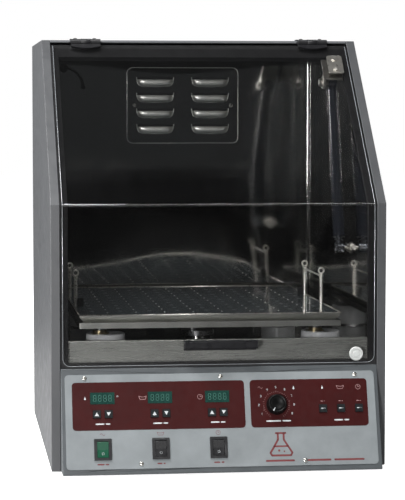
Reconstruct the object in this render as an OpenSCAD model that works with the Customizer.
// Benchtop shaking incubator: a sheet-metal cabinet with a folded smoke-tinted lid,
// a stainless chamber, an orbiting platform and a sloping control panel.
// Millimetres. +X is the right-hand side seen from the front, +Y goes to the back, +Z is up.
// The modules work in a cabinet frame: y = 0 is the front face of the lid and z = 0 the
// underside of the cabinet. place() moves that frame so that the origin is under the middle.

/* [Cabinet] */
// Overall width
body_w = 460; // [450:1:470]
// Depth behind the lid's front face
body_d = 555; // [550:1:565]
// Height without the feet
body_h = 590; // [585:1:595]
// Height of the fold between the upright and the sloping front
fold_z = 362; // [358:1:366]
// Distance of the top's front edge behind the front face
top_y = 235; // [230:1:240]
// Thickness of the sheet metal
sheet = 2; // [1.5:0.5:2]
// Width of the side panels' front flange
flange_w = 12.5; // [12:0.5:13]
// Height of the rubber feet
foot_h = 5; // [4:1:8]

/* [Lid] */
// Thickness of the lid's plastic sheet
lid_t = 5; // [4:0.5:5]
// Width of the lid
lid_w = 429; // [425:1:431]
// Outer radius of the lid's fold
lid_fold_r = 8; // [7:1:12]
// Height of the lid's lower edge
lid_bottom = 143; // [142.5:0.5:145]

/* [Chamber] */
// Inside width
chamber_w = 416; // [414:1:418]
// Back wall's distance behind the front face
chamber_back_y = 492; // [490:1:496]
// Height of the floor
floor_z = 150; // [150:1:151]
// Height of the ceiling
ceiling_z = 575; // [570:1:578]

/* [Shaker] */
// Diameter of the platform's orbit
orbit_d = 19; // [15:0.5:19]
// Width of the platform
tray_w = 364; // [356:1:366]
// Depth of the platform
tray_d = 440; // [430:1:440]
// Height of the platform's top face
tray_z = 209; // [208:1:212]
// Direction in which the platform rests off centre, in degrees
rest_phase = 210; // [0:15:345]
// Diameter of the crank hubs
hub_d = 54; // [50:1:54]
// Distance between hubs across the cabinet
hub_dx = 302; // [296:1:304]
// Distance between hubs from front to back
hub_dy = 372; // [364:1:374]

/* [Control panel] */
// Height of the panel's upper edge
fascia_top = 140; // [138:1:140]
// How far the panel's lower edge stands out
fascia_out = 45; // [40:1:45]
// Width of one push key
key_w = 10.3; // [9:0.1:10.4]
// Diameter of the safety knob
knob_d = 28; // [24:1:30]
// Tilt of a rocker from its middle position, in degrees
rocker_tilt = 10; // [8:1:10]

/* [Gas spring] */
// Diameter of the tube
spring_d = 16.6; // [15:0.2:18]
// Distance of the spring from the middle of the cabinet
spring_x = 191; // [190:0.5:191.5]

/* [Hidden] */
$fn = 64;

// Cabinet
half_w = body_w / 2;
inner_x = half_w - flange_w;            // inner edge of the side flanges
inlet_out = 2;                          // how far the power inlet stands out at the back
y_shift = (fascia_out - body_d - inlet_out) / 2;
slope_m = (body_h - fold_z) / top_y;
slope_k = sqrt(1 + slope_m * slope_m);
slope_a = atan(slope_m);                // slope's angle above the horizontal

// Lid and gasket
lid_top_s = 12;                         // lid's upper edge, down the slope from the top corner
lid_gap = 0.3;                          // air between the lid and its gasket
seal_in = 13;                           // inner face of the gasket, measured from the outer face
hinge_x = 166.4;
hinge_w = 43;
hinge_s = 6;                            // hinge axis, down the slope from the top corner
hinge_off = 2;                          // and out from the slope
pin_r = 2;
run_gap = 0.05;                         // radial clearance of a running fit

// Chamber
wall_x = chamber_w / 2;
fan_x = 5;
fan_z = 495.5;
fan_hole_r = 45;
heater_y = 506;
cover_w = 177;
cover_h = 119;
cover_screw_x = 77;
louvre_w = 59;
louvre_h = 15;
louvre_out = 7;
louvre_dx = 87.5;
louvre_dz = 24.7;

// Shaker
centre_y = 255;
crank_r = orbit_d / 2;
rest_x = crank_r * cos(rest_phase);
rest_y = crank_r * sin(rest_phase);
hub_base = floor_z + 2.4;
hub_top = 181;
bush_top = 186;
skirt_z = tray_z - 18;                  // lower edge of the platform's rim
plate_t = 3;
rail_x = 178;                           // guard rails, from the platform's middle
rail_y = [-85, 55];
rail_top = tray_z + 44;
post_r = 2.8;
eye_ring_r = 3.8;
hole_pitch = 40;
hole_columns = 4;                       // holes on each side of the middle one
hole_rows = 5;
hole_r = 2.1;

// Control panel
fascia_low = 4;
fascia_a = atan(fascia_out / (fascia_top - fascia_low));
overlay_w = 424.5;
overlay_h = 129;
overlay_s = 73;
overlay_t = 1;
label_t = 0.3;
label_s = 52;
label_h = 65.5;
labels = [[-85.6, 234.6], [120.5, 162]];       // middle and width of each maroon label
display_x = [-162, -83.9, -5.8];
display_s = 41.1;
display_w = 33;
display_h = 16;
key_h = 10.7;
key_s = 62.9;
key_out = 3;
key_pair = 8;                                  // half the distance between two arrow keys
mute_x = [139.3, 164.2, 189.1];
mute_s = 60.2;
knob_x = 75.2;
knob_s = 54;
knob_h = 14;
rocker_x = [-163, -84.7, -6.4];
rocker_s = 111;
bezel_w = 23.6;
bezel_h = 29.1;
rocker_w = 15.2;
rocker_r = 10.8;
rocker_pivot = 0.5;                            // height of the rocker's axis above the fascia
screw_at = [[-185.5, 13.6], [0, 13.6], [185.5, 13.6], [-111.5, 131], [111.5, 131]];
shank_r = 1.6;
gap = 0.3;

// Gas spring: its pins on the lid and on the wall, in the cabinet frame
lid_pin_y = 201;
lid_pin_z = 529;
wall_pin_y = 137;
wall_pin_z = 292;
spring_l = norm([lid_pin_y - wall_pin_y, lid_pin_z - wall_pin_z]);
spring_a = atan2(lid_pin_z - wall_pin_z, lid_pin_y - wall_pin_y);
eye_r = 7.5;
eye_w = 12;
bolt_r = 4;
lid_pin_s = (top_y - lid_pin_y) * cos(slope_a) + (body_h - lid_pin_z) * sin(slope_a);
lid_pin_off = (top_y - lid_pin_y) * sin(slope_a) - (body_h - lid_pin_z) * cos(slope_a);

// ---- Outlines ----

// Height of the slope at y, moved inwards by i
function slope_z(y, i) = fold_z + slope_m * y - i * slope_k;
function slope_y(z, i) = (z - fold_z + i * slope_k) / slope_m;

// Side view of the cabinet, moved inwards by i, as [y, z] points
function profile(i) = [[i, i], [i, slope_z(i, i)], [slope_y(body_h - i, i), body_h - i],
    [body_d - i, body_h - i], [body_d - i, i]];

// Point on the slope, s down from the top corner and i inwards
function slope_point(s, i) = [top_y - s * cos(slope_a) + i * sin(slope_a),
    body_h - s * sin(slope_a) - i * cos(slope_a)];

// Line that follows the lid's side view at i inwards, from height z0 to s0 down the slope
function lid_line(i, z0, s0) = let (turn = 90 - slope_a, r = lid_fold_r, cz = fold_z - r * tan(turn / 2))
    concat([[i, z0]],
        i >= r ? [[i, slope_z(i, i)]] :
        [for (k = [0:8]) [r + (r - i) * cos(180 - turn * k / 8), cz + (r - i) * sin(180 - turn * k / 8)]],
        [slope_point(s0, i)]);
function backwards(p) = [for (k = [len(p) - 1:-1:0]) p[k]];

// Rectangle with round corners, centred
function round_box(w, h, r, n = 6) = [for (c = [0:3], k = [0:n])
    let (a = 90 * c + 90 * k / n, sx = (c == 0 || c == 3) ? 1 : -1, sy = c < 2 ? 1 : -1)
    [sx * (w / 2 - r) + r * cos(a), sy * (h / 2 - r) + r * sin(a)]];

// ---- Placing ----

module place() {
    translate([0, y_shift, foot_h]) children();
}

// Extrudes a [y, z] outline from x0 to x1
module along_x(x0, x1) {
    translate([x0, 0, 0]) rotate([90, 0, 90]) linear_extrude(x1 - x0) children();
}

// A cylinder along X
module rod_x(x0, x1, r, y = 0, z = 0) {
    translate([x0, y, z]) rotate([0, 90, 0]) cylinder(r = r, h = x1 - x0);
}

// Local frame on the control panel: x, s down from its upper edge, h out of the panel
module on_fascia(x, s, h = 0) {
    translate([x, -s * sin(fascia_a), fascia_top - s * cos(fascia_a)])
        rotate([90 - fascia_a, 0, 0]) translate([0, 0, h]) children();
}

// Local frame on the slope: x, s down from the top corner, off out of the slope
module on_slope(x, s, off = 0) {
    translate([x, top_y - s * cos(slope_a), body_h - s * sin(slope_a)])
        rotate([slope_a, 0, 0]) translate([0, 0, off]) children();
}

// Local frame on an upright wall that faces the front: x, z, and the wall's y
module on_wall(x, y, z) {
    translate([x, y, z]) rotate([90, 0, 0]) children();
}

// Local frame of the gas spring: origin at the lid's pin, +Z towards the wall's pin
module on_spring() {
    translate([spring_x, lid_pin_y, lid_pin_z]) rotate([90 + spring_a, 0, 0]) children();
}

module slab(w, h, r, t) {
    linear_extrude(t) polygon(round_box(w, h, r));
}

module block(w, h, t) {
    translate([-w / 2, -h / 2, 0]) cube([w, h, t]);
}

// ---- Cabinet ----

feet_at = [[-190, 45], [190, 45], [-190, 510], [190, 510]];

module base_pan() color("#5d6165") place() difference() {
    union() {
        translate([-inner_x, 0, 0]) cube([2 * inner_x, body_d - sheet, sheet]);
        for (side = [-1, 1]) translate([side * (inner_x - 1) - 1, 20, 0]) cube([2, body_d - 40, 20]);
    }
    for (p = feet_at) translate([p[0], p[1], -1]) cylinder(r = 2.6, h = 10);
}

module side_panel(side) color("#85888b") place() mirror([side > 0 ? 1 : 0, 0, 0]) difference() {
    along_x(-half_w, -inner_x) polygon(profile(0));
    along_x(-half_w + sheet, -inner_x + 1) polygon(profile(sheet));
}

module top_panel() color("#7d8287") place() difference() {
    along_x(-inner_x, inner_x) polygon([[top_y, body_h], slope_point(4, 0), slope_point(4, sheet),
        [slope_y(body_h - sheet, sheet), body_h - sheet], [body_d - sheet, body_h - sheet],
        [body_d - sheet, body_h]]);
    for (side = [-1, 1]) translate([side * hinge_x, 0, 0])
        hinge_axis() rod_x(-hinge_w / 2 - 1, hinge_w / 2 + 1, knuckle_r + 0.5);
}

rear_screws = [for (x = [-205, 205], z = [40, 200, 390, 560]) [x, z]];
inlet_x = -150;
inlet_z = 60;

module rear_panel() color("#7d8287") place() difference() {
    translate([-inner_x, body_d - sheet, sheet]) cube([2 * inner_x, sheet, body_h - 2 * sheet]);
    for (p = rear_screws) on_wall(p[0], body_d + 1, p[1]) cylinder(r = shank_r + 0.1, h = 4);
    for (x = [-60, 60], k = [0:7]) translate([x - 45, body_d - 5, 40 + 11 * k]) cube([90, 10, 4]);
    on_wall(inlet_x, body_d + 1, inlet_z) block(28, 21, 4);
}

module rubber_feet() color("#1b1b1c") place() for (p = feet_at) translate([p[0], p[1], -foot_h])
    union() {
        cylinder(r1 = 13, r2 = 15, h = foot_h);
        cylinder(r = 2.5, h = foot_h + 8);
        translate([0, 0, foot_h + sheet]) cylinder(r = 6, h = 3, $fn = 6);
    }

module power_inlet() color("#161616") place() on_wall(inlet_x, body_d + inlet_out, inlet_z) {
    difference() {
        union() {
            slab(31, 24, 2, inlet_out);
            translate([0, 0, inlet_out]) block(27.5, 20.5, 22);
        }
        translate([0, 0, -1]) block(24, 16, 18);
    }
    for (x = [-7, 0, 7]) translate([x, x == 0 ? 3 : -1, 1]) block(1.6, 4, 16);
}

// ---- Control panel ----

module key_cuts(t0, t1) {
    for (x = display_x, side = [-1, 1])
        on_fascia(x + side * key_pair, key_s, t0) block(key_w + 2 * gap, key_h + 2 * gap, t1 - t0);
    for (x = mute_x) on_fascia(x, mute_s, t0) block(key_w + 2 * gap, key_h + 2 * gap, t1 - t0);
}

module screw_cuts() {
    for (p = screw_at) on_fascia(p[0], p[1], -5) cylinder(r = shank_r + 0.1, h = 10);
}

module rocker_cuts() {
    for (x = rocker_x) on_fascia(x, rocker_s, -5) block(21.2, 26.7, 10);
}

module control_fascia() color("#6d7378") place() difference() {
    x = inner_x - 0.2;
    t = sheet / cos(fascia_a);
    tan_a = tan(fascia_a);
    along_x(-x, x) polygon([[12, fascia_top], [0, fascia_top], [-fascia_out, fascia_low],
        [-fascia_out, sheet], [12, sheet]]);
    along_x(-x + sheet, x - sheet) polygon([[13, fascia_top - sheet], [t - sheet * tan_a, fascia_top - sheet],
        [t - fascia_out, fascia_low], [13, fascia_low]]);
    for (x = display_x) on_fascia(x, display_s, -5) block(display_w - 4, display_h - 4, 10);
    on_fascia(knob_x, knob_s, -5) cylinder(r = 5.1, h = 10);
    key_cuts(-5, 5);
    rocker_cuts();
    screw_cuts();
}

module panel_overlay() color("#a9b0b4") place() difference() {
    on_fascia(0, overlay_s) slab(overlay_w, overlay_h, 5, overlay_t);
    for (x = display_x) on_fascia(x, display_s, -1) block(display_w + 0.2, display_h + 0.2, 5);
    on_fascia(knob_x, knob_s, -1) cylinder(r = 5.1, h = 5);
    key_cuts(-1, 5);
    rocker_cuts();
    screw_cuts();
}

module panel_labels() color("#4d1a1c") place() difference() {
    for (l = labels) on_fascia(l[0], label_s, overlay_t) slab(l[1], label_h, 5, label_t);
    for (x = display_x) on_fascia(x, display_s, 0) block(display_w + 0.2, display_h + 0.2, 5);
    on_fascia(knob_x, knob_s, 0) cylinder(r = 5.1, h = 5);
    key_cuts(0, 5);
}

module display_windows() color("#1d5b4c") place()
    for (x = display_x) on_fascia(x, display_s) slab(display_w, display_h, 0.8, 1.6);

// Circuit boards with display modules, and the sensor behind the sill that feels the lid's magnet
module control_electronics() color("#205a34") place() {
    difference() {
        union() {
            for (l = labels) on_fascia(l[0], label_s, -14) block(l[1] - 6, 62, 1.6);
            for (x = display_x) on_fascia(x, display_s, -12.4) block(31, 15, 10);
        }
        on_fascia(knob_x, knob_s, -20) cylinder(r = 26, h = 12);
    }
    translate([magnet_x - 7, seal_in + sheet, magnet_z - 5]) cube([14, 9, 10]);
}

module safety_thermostat() color("#c9c6bd") place() difference() {
    on_fascia(knob_x, knob_s) union() {
        translate([0, 0, -28]) block(36, 36, 25);
        translate([0, 0, -4]) cylinder(r = 5, h = 6);
    }
    on_fascia(knob_x, knob_s, -16) cylinder(r = 3 + run_gap, h = 30);
}

module rocker_frames() color("#101011") place() for (x = rocker_x) on_fascia(x, rocker_s)
    difference() {
        union() {
            translate([0, 0, overlay_t]) slab(bezel_w, bezel_h, 1, 2);
            translate([0, 0, -22]) block(21, 26.5, 24);
        }
        translate([0, 0, -19]) block(rocker_w + 0.6, 2 * rocker_r + 0.6, 30);
    }

// One rocker, held in its off position: its upper end stands out
module rocker(k) place() on_fascia(rocker_x[k], rocker_s, rocker_pivot) rotate([rocker_tilt, 0, 0])
    intersection() {
        rod_x(-rocker_w / 2, rocker_w / 2, rocker_r);
        along_x(-rocker_w / 2, rocker_w / 2) polygon([[0, 1.7],
            [12, 1.7 + 12 * tan(rocker_tilt)], [12, -6], [-12, -6], [-12, 1.7 + 12 * tan(rocker_tilt)]]);
    }

// A key's cap with a flange behind the panel
module key(x, s) color("#111414") place() on_fascia(x, s) difference() {
    union() {
        translate([0, 0, -9]) slab(key_w, key_h, 0.8, key_out + 9);
        translate([0, 0, -6]) block(key_w + 1.6, key_h + 1.6, 1.5);
    }
    translate([0, 0, key_out - 0.3]) slab(key_w - 2, key_h - 2, 0.5, 1);
}

module safety_knob() color("#141414") place() on_fascia(knob_x, knob_s) difference() {
    r = knob_d / 2;
    rotate_extrude() polygon(concat([[0, -14], [3, -14], [3, 3], [6, 3], [6, 1.8], [r, 1.8], [r, 4]],
        [for (k = [0:6]) [r - 3 + 1.5 * cos(15 * k), knob_h - 1.5 + 1.5 * sin(15 * k)]],
        [[r - 4.5, knob_h - 0.6], [0, knob_h - 0.6]]));
    for (k = [0:17]) rotate([0, 0, 20 * k + 10]) translate([r + 0.9, 0, 5])
        cylinder(r = 1.5, h = 20, $fn = 24);
}

// Pan-head screw with a cross recess, head up
module screw(l) difference() {
    union() {
        rotate_extrude() polygon(concat([[0, 0], [3, 0]],
            [for (k = [0:4]) [3 * cos(20 * k), 0.5 + 1.3 * sin(20 * k)]], [[0, 1.8]]));
        translate([0, 0, -l]) cylinder(r = shank_r, h = l + 0.5);
    }
    for (a = [0, 90]) rotate([0, 0, a]) translate([-1.6, -0.35, 1]) cube([3.2, 0.7, 2]);
}

module machine_screws() color("#c8c4b8") place() {
    for (p = screw_at) on_fascia(p[0], p[1], overlay_t) screw(8);
    for (side = [-1, 1]) on_wall(fan_x + side * cover_screw_x, chamber_back_y - sheet, fan_z) screw(6);
    for (p = rear_screws) on_wall(p[0], body_d, p[1]) rotate([180, 0, 0]) screw(8);
}

// ---- Chamber ----

module chamber_side(side) color("#9a9d9b") place() mirror([side > 0 ? 1 : 0, 0, 0])
    along_x(-wall_x - sheet, -wall_x) polygon([[seal_in, floor_z - sheet],
        [seal_in, slope_z(seal_in, seal_in)], [slope_y(ceiling_z + sheet, seal_in), ceiling_z + sheet],
        [chamber_back_y + sheet, ceiling_z + sheet], [chamber_back_y + sheet, floor_z - sheet]]);

module chamber_back_wall() color("#9a9d9b") place() difference() {
    translate([-wall_x, chamber_back_y, floor_z - sheet])
        cube([chamber_w, sheet, ceiling_z + 2 * sheet - floor_z]);
    on_wall(fan_x, chamber_back_y + 5, fan_z) cylinder(r = fan_hole_r, h = 10);
    for (side = [-1, 1]) on_wall(fan_x + side * cover_screw_x, chamber_back_y + 5, fan_z)
        cylinder(r = shank_r + 0.1, h = 10);
}

module chamber_floor() color("#8e918f") place() difference() {
    union() {
        translate([-wall_x, seal_in + sheet, floor_z - sheet])
            cube([chamber_w, chamber_back_y - seal_in - sheet, sheet]);
        translate([0, centre_y, floor_z - 10]) cylinder(r = 20, h = 16);
    }
    translate([0, centre_y, 0]) cylinder(r = 8 + run_gap, h = 300);
}

module chamber_ceiling() color("#9a9d9b") place()
    translate([-wall_x, slope_y(ceiling_z + sheet, seal_in), ceiling_z])
        cube([chamber_w, chamber_back_y - slope_y(ceiling_z + sheet, seal_in), sheet]);

module front_sill() color("#b5b9b2") place() along_x(-wall_x, wall_x)
    polygon([[seal_in, fascia_top + 1], [seal_in, 176], [seal_in + 11, 176], [seal_in + 11, 174.5],
        [seal_in + sheet, 174.5], [seal_in + sheet, fascia_top + 1]]);

module lid_gasket() color("#0c0c0d") place() difference() {
    i0 = lid_t + lid_gap;
    hole_x = wall_x - 1.5;
    along_x(-inner_x, inner_x)
        polygon(concat(lid_line(i0, fascia_top, 4), backwards(lid_line(seal_in, fascia_top, 4))));
    along_x(-hole_x, hole_x)
        polygon(concat(lid_line(-5, 147, 30), backwards(lid_line(seal_in + 10, 147, 30))));
}

// Rounded belly of one louvre: wide at its open upper edge and narrower below.
// t shrinks it for the inside, and top is the height at which it ends.
module louvre(t, top) {
    w = louvre_w / 2 - t;
    out = louvre_out - t;
    mid = louvre_h / 2;
    intersection() {
        along_x(-w, w) polygon(concat([[2 * t, top], [2 * t, t - louvre_h]],
            [for (k = [0:8]) [-out * sin(15 * k), -mid - (mid - t) * cos(15 * k)]], [[-out * sin(120), top]]));
        rotate([90, 0, 0]) translate([0, 0, -20]) linear_extrude(40)
            polygon([[-w, top], [-w, -2], [4 - w, -10], [9 - w, -louvre_h],
                [w - 9, -louvre_h], [w - 4, -10], [w, -2], [w, top]]);
    }
}

module each_louvre() {
    for (col = [-1, 1], row = [0:3])
        translate([col * louvre_dx / 2, -sheet, louvre_dz * (1.5 - row) + louvre_h / 2]) children();
}

module fan_cover() color("#6f716f") place() translate([fan_x, chamber_back_y, fan_z]) difference() {
    union() {
        rotate([90, 0, 0]) slab(cover_w, cover_h, 9, sheet);
        each_louvre() translate([0, 0.01, 0]) louvre(0, -3.5);
    }
    each_louvre() louvre(sheet, 1);
    for (side = [-1, 1]) translate([side * cover_screw_x, 5, 0]) rotate([90, 0, 0])
        cylinder(r = shank_r + 0.1, h = 20);
}

// Flat blades on a hub, behind the back wall
module circulation_fan() color("#c4c6c8") place() on_wall(fan_x, 510, fan_z) difference() {
    union() {
        cylinder(r = 9, h = 12);
        translate([0, 0, -8]) cylinder(r = 3, h = 12);
        for (k = [0:5]) rotate([0, 0, 60 * k]) translate([7, -1, 0]) rotate([30, 0, 0]) cube([33, 2, 12]);
    }
    translate([0, 0, 8]) cylinder(r = 2, h = 10);
}

module fan_motor() color("#4a4d50") place() on_wall(fan_x, body_d - sheet, fan_z) difference() {
    union() {
        cylinder(r = 30, h = 36);
        cylinder(r = 6, h = 39);
    }
    translate([0, 0, 30]) cylinder(r = 3 + run_gap, h = 20);
}

// Sheathed heating loop round the fan, with two leads to the back
module heater_element() color("#7c7468") place() on_wall(fan_x, heater_y, fan_z) {
    lead_l = body_d - sheet - heater_y;
    rotate([0, 0, 100]) rotate_extrude(angle = 340) translate([54, 0]) circle(r = 3.2);
    for (a = [100, 80]) rotate([0, 0, a]) translate([54, 0, -lead_l]) cylinder(r = 3.2, h = lead_l);
}

probe_x = -183;
probe_z = 554;

// Grommet and thin sheath that reaches into the chamber and bends down
module temperature_probe() color("#1a1a1a") place() on_wall(probe_x, chamber_back_y, probe_z) {
    rotate_extrude() polygon([[1.6, 0], [7, 0], [7, 2], [4.5, 4], [1.6, 4]]);
    cylinder(r = 1.5, h = 14);
    translate([30, -30, 14]) rotate([0, 0, 135]) translate([0, 0, -1.5]) cylinder(r = 3, h = 3);
    translate([0, -30, 14]) rotate_extrude(angle = 90) translate([30, 0]) circle(r = 1.5);
}

// ---- Lid ----

module lid() color([0.12, 0.12, 0.12, 0.55]) place() difference() {
    x = lid_w / 2;
    along_x(-x, x) polygon(concat(lid_line(0, lid_bottom, lid_top_s),
        backwards(lid_line(lid_t, lid_bottom, lid_top_s))));
    for (side = [0, 1]) mirror([side, 0, 0]) difference() {
        translate([x - 10, -1, lid_bottom - 1]) cube([11, lid_t + 2, 11]);
        on_wall(x - 10, lid_t + 3, lid_bottom + 10) cylinder(r = 10, h = 20);
    }
    for (s = bracket_bolts) on_slope(bracket_x, s, -20) cylinder(r = 2.5, h = 30);
    on_wall(magnet_x, 20, magnet_z) cylinder(r = 2.1, h = 30);
}

magnet_x = 188.5;
magnet_z = 155.5;
handle_w = 100;

module lid_handle() color("#131313") place() along_x(-handle_w / 2, handle_w / 2)
    polygon([[0, 176.5], [-15, 176.5], [-16, 175.5], [-16, 167.5], [-15.2, 166.7], [-13.5, 166.7],
        [-13.5, 174], [-2, 174], [-2, 163], [0, 163]]);

module lid_magnet() color("#d9dad6") place() on_wall(magnet_x, 0, magnet_z) union() {
    rotate_extrude() polygon([[0, 0], [9.5, 0], [9.5, 2], [8.6, 2.9], [6.8, 2.9], [6.2, 2.2], [4.6, 2.2],
        [4, 3.4], [0, 3.4]]);
    translate([0, 0, -8]) cylinder(r = 2, h = 9);
    translate([0, 0, -8]) cylinder(r = 4, h = 3 - lid_gap, $fn = 6);
}

// Knuckles of a hinge; the lid carries the outer two and the cabinet the middle one
knuckle_r = 4.5;
knuckle_half = 7;

module hinge_axis() {
    on_slope(0, hinge_s, hinge_off) children();
}

module hinge_base_leaves() color("#17181a") place() for (side = [-1, 1]) translate([side * hinge_x, 0, 0]) {
    difference() {
        union() {
            hinge_axis() rod_x(-knuckle_half + 0.2, knuckle_half - 0.2, knuckle_r);
            translate([-knuckle_half + 0.2, top_y - 5, body_h]) cube([2 * knuckle_half - 0.4, 8, 2]);
            translate([-hinge_w / 2, top_y + 2, body_h]) cube([hinge_w, 18, 2]);
        }
        hinge_axis() rod_x(-20, 20, pin_r);
    }
    hinge_axis() rod_x(-hinge_w / 2, hinge_w / 2, pin_r);
}

// Leaf on the lid's outer face, with a bowed lower edge
module hinge_lid_leaves() color("#17181a") place() for (side = [-1, 1]) translate([side * hinge_x, 0, 0])
    difference() {
        union() {
            for (m = [0, 1]) mirror([m, 0, 0]) hinge_axis()
                rod_x(knuckle_half + 0.2, hinge_w / 2, knuckle_r);
            on_slope(0, lid_top_s, 0) linear_extrude(2.5) polygon(concat(
                [[-hinge_w / 2, 1.4], [-hinge_w / 2, -3]],
                [for (k = [0:10]) [-hinge_w / 2 + hinge_w * k / 10, -3 - 4 * sin(18 * k)]],
                [[hinge_w / 2, -3], [hinge_w / 2, 1.4]]));
            for (m = [0, 1]) mirror([m, 0, 0]) on_slope(0, lid_top_s, 0)
                translate([knuckle_half + 0.2, 0, 0.2]) cube([hinge_w / 2 - knuckle_half - 0.2, 4, 2.3]);
        }
        hinge_axis() rod_x(-40, 40, pin_r + run_gap);
    }

bracket_x = 195;
bracket_bolts = [41, 62];
ear_x = 177;

// Outer plate, inner plate with an ear for the ball stud, and the bolts that clamp the lid between them
module spring_bracket() color("#b8b2a4") place() {
    on_slope(bracket_x, 52, 0) slab(22, 37, 3, 2);
    for (s = bracket_bolts) on_slope(bracket_x, s, -lid_t - 2) {
        cylinder(r = 2.4, h = lid_t + 3.5);
        translate([0, 0, lid_t + 3]) cylinder(r = 3.8, h = 3);
    }
    on_slope(0, 55, -lid_t - 3) translate([ear_x, -20, 0]) cube([27, 40, 3]);
    on_slope(0, lid_pin_s, lid_pin_off) translate([ear_x, -8, 0]) cube([3, 16, -lid_pin_off - lid_t - 1]);
    rod_x(ear_x - 0.5, ear_x + 3.5, 9, lid_pin_y, lid_pin_z);
    rod_x(ear_x + 2, spring_x - eye_w / 2 - gap, bolt_r, lid_pin_y, lid_pin_z);
    translate([ear_x - 5, lid_pin_y, lid_pin_z]) rotate([0, 90, 0]) cylinder(r = 6, h = 6, $fn = 6);
}

// ---- Gas spring ----

tube_end = spring_l - 16;

module gas_spring_tube() color("#151619") place() on_spring() difference() {
    union() {
        rod_x(-eye_w / 2, eye_w / 2, eye_r);
        cylinder(r = 5, h = 14);
        translate([0, 0, 12]) cylinder(r = spring_d / 2, h = tube_end - 12);
        translate([0, 0, tube_end - 6]) cylinder(r = spring_d / 2 + 0.7, h = 6);
    }
    translate([0, 0, 30]) cylinder(r = 7, h = tube_end - 40);
    translate([0, 0, tube_end - 15]) cylinder(r = 4 + run_gap, h = 20);
}

module gas_spring_rod() color("#3b3e42") place() on_spring() {
    translate([0, 0, 44]) cylinder(r = 4, h = spring_l - 50);
    translate([0, 0, 36]) cylinder(r = 6.9, h = 8);
    translate([0, 0, spring_l - 14]) cylinder(r = 6.5, h = 10);
    translate([0, 0, spring_l]) rod_x(-eye_w / 2, eye_w / 2, eye_r);
}

module wall_ball_stud() color("#c9ccd0") place() {
    rod_x(wall_x - 2, wall_x, 8, wall_pin_y, wall_pin_z);
    translate([wall_x - 6, wall_pin_y, wall_pin_z]) rotate([0, 90, 0]) cylinder(r = 6, h = 4.1, $fn = 6);
    rod_x(spring_x + eye_w / 2 + 0.5, wall_x - 5, 3, wall_pin_y, wall_pin_z);
}

// ---- Shaker ----

hubs_at = [for (y = [-1, 1], x = [-1, 1]) [x * hub_dx / 2, centre_y + y * hub_dy / 2]];

module platform_place() {
    place() translate([rest_x, centre_y + rest_y, 0]) children();
}

// Outline of a rectangle that shrinks from full size at z1 to one smaller by cut on each side at z0
module bevelled(w, d, cut, z0, z1) {
    intersection() {
        translate([0, d / 2, 0]) rotate([90, 0, 0]) linear_extrude(d)
            polygon([[-w / 2 + cut, z0], [w / 2 - cut, z0], [w / 2, z1], [-w / 2, z1]]);
        along_x(-w / 2, w / 2) polygon([[-d / 2 + cut, z0], [d / 2 - cut, z0], [d / 2, z1], [-d / 2, z1]]);
    }
}

module tray_holes(z) {
    for (x = [-hole_columns:hole_columns], y = [-hole_rows:hole_rows])
        translate([hole_pitch * x, hole_pitch * y, z]) children();
}

module platform_tray() color("#3a3f42") platform_place() difference() {
    union() {
        translate([0, 0, tray_z - 2]) slab(tray_w, tray_d, 3, 2);
        bevelled(tray_w - 1, tray_d - 1, 7, tray_z - 10, tray_z - 2);
        translate([0, 0, skirt_z]) slab(tray_w, tray_d, 2, 8);
    }
    translate([0, 0, skirt_z - 1]) block(tray_w - 18, tray_d - 18, 19 - plate_t);
    tray_holes(skirt_z - 5) cylinder(r = hole_r, h = 40, $fn = 24);
}

module platform_frame() color("#84888b") platform_place() difference() {
    top = tray_z - plate_t;
    union() {
        for (side = [-1, 1]) translate([side * hub_dx / 2, 0, top - 12]) block(26, tray_d - 30, 12);
        translate([0, 0, top - 12]) block(hub_dx, 40, 12);
        translate([0, 0, 170]) cylinder(r = 13, h = top - 172);
        for (x = [-1, 1], y = [-1, 1]) translate([x * hub_dx / 2, y * hub_dy / 2, 172])
            cylinder(r = 5, h = top - 174);
    }
    translate([0, 0, 160]) cylinder(r = 6 + run_gap, h = 28);
    tray_holes(top - 9) cylinder(r = hole_r + 1.5, h = 40, $fn = 24);
}

// A rail on each side: two posts, a wire between them and an eye on top of each post
module guard_rails() color("#c2beb2") platform_place() for (side = [-1, 1]) translate([side * rail_x, 0, 0]) {
    for (y = rail_y) translate([0, y, tray_z]) cylinder(r = post_r, h = rail_top - tray_z);
    translate([0, rail_y[0], rail_top - 4]) rotate([-90, 0, 0])
        cylinder(r = 1.4, h = rail_y[1] - rail_y[0], $fn = 24);
    for (y = rail_y) translate([0, y, rail_top + eye_ring_r]) rotate([90, 0, 0])
        rotate_extrude($fn = 24) translate([eye_ring_r, 0]) circle(r = 1.2, $fn = 16);
}

// Rubber blocks inside the left front post and the right rear post
module rail_stops() color("#151515") platform_place()
    for (k = [0, 1]) translate([(2 * k - 1) * (rail_x - post_r - 4.3), rail_y[k], tray_z]) block(8, 9, 12);

// Fixed spindles that the hubs turn on
module hub_spindles() color("#8a8d90") place() for (p = hubs_at) translate([p[0], p[1], floor_z]) {
    cylinder(r = 22, h = 2);
    cylinder(r = 6, h = 16);
}

// Hub with an off-centre bronze bush for the platform's pin
module crank_hub(k) color("#dcdde0") place() translate([hubs_at[k][0], hubs_at[k][1], 0]) {
    difference() {
        rotate_extrude() polygon([[0, hub_base], [hub_d / 2 - 0.8, hub_base], [hub_d / 2, hub_base + 0.8],
            [hub_d / 2, hub_top - 1.2], [hub_d / 2 - 1.2, hub_top], [0, hub_top]]);
        translate([0, 0, hub_base - 1]) cylinder(r = 6 + run_gap, h = 16);
        translate([rest_x, rest_y, 169]) cylinder(r = 9, h = 20);
    }
    translate([rest_x, rest_y, 169]) difference() {
        cylinder(r = 9, h = bush_top - 169);
        translate([0, 0, 2]) cylinder(r = 5 + run_gap, h = 20);
    }
}

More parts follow.
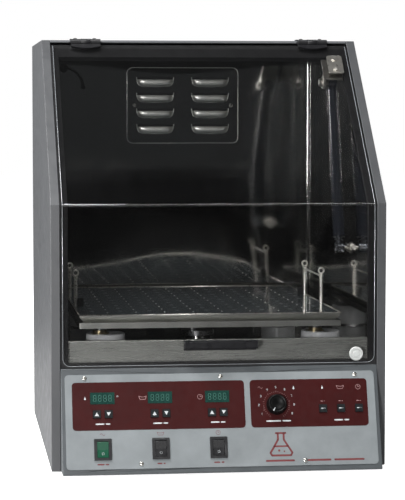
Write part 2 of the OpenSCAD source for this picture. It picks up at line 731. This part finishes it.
module drive_motor() color("#4a4d50") place() translate([0, centre_y, 0]) difference() {
    union() {
        translate([0, 0, 45]) cylinder(r = 38, h = 80);
        translate([0, 0, 125]) slab(92, 92, 6, 4);
        for (x = [-38, 38], y = [-38, 38]) translate([x, y, 129]) cylinder(r = 5, h = floor_z - sheet - 129);
    }
    translate([0, 0, 100]) cylinder(r = 8 + run_gap, h = 40);
}

// Shaft, balanced web and crank pin
module drive_crank() color("#9b9ea1") place() translate([0, centre_y, 0]) {
    translate([0, 0, 104]) cylinder(r = 8, h = 55);
    translate([0, 0, 157]) cylinder(r = 24, h = 7);
    translate([rest_x, rest_y, 164]) cylinder(r = 6, h = 22);
}

// ---- Nodes ----

base_pan();
side_panel(-1);  // left_side_panel
side_panel(1);  // right_side_panel
top_panel();
rear_panel();
control_fascia();
panel_overlay();
panel_labels();
display_windows();
control_electronics();
rocker_frames();
safety_thermostat();
machine_screws();
chamber_side(-1);  // chamber_left_wall
chamber_side(1);  // chamber_right_wall
chamber_back_wall();
chamber_floor();
chamber_ceiling();
front_sill();
lid_gasket();
fan_cover();
fan_motor();
heater_element();
temperature_probe();
hinge_base_leaves();
wall_ball_stud();
drive_motor();
power_inlet();
rubber_feet();
hub_spindles();
color("#1c7a55") rocker(0);  // power_rocker
color("#0d0d0d") rocker(1);  // shaker_rocker
color("#0d0d0d") rocker(2);  // timer_rocker
key(display_x[0] - key_pair, key_s);  // temp_up_key
key(display_x[0] + key_pair, key_s);  // temp_down_key
key(display_x[1] - key_pair, key_s);  // speed_up_key
key(display_x[1] + key_pair, key_s);  // speed_down_key
key(display_x[2] - key_pair, key_s);  // timer_up_key
key(display_x[2] + key_pair, key_s);  // timer_down_key
key(mute_x[0], mute_s);  // temp_mute_key
key(mute_x[1], mute_s);  // speed_mute_key
key(mute_x[2], mute_s);  // timer_mute_key
safety_knob();
circulation_fan();
lid();
lid_handle();
lid_magnet();
hinge_lid_leaves();
spring_bracket();
gas_spring_tube();
gas_spring_rod();
platform_tray();
platform_frame();
guard_rails();
rail_stops();
crank_hub(0);  // crank_hub_front_left
crank_hub(1);  // crank_hub_front_right
crank_hub(2);  // crank_hub_rear_left
crank_hub(3);  // crank_hub_rear_right
drive_crank();
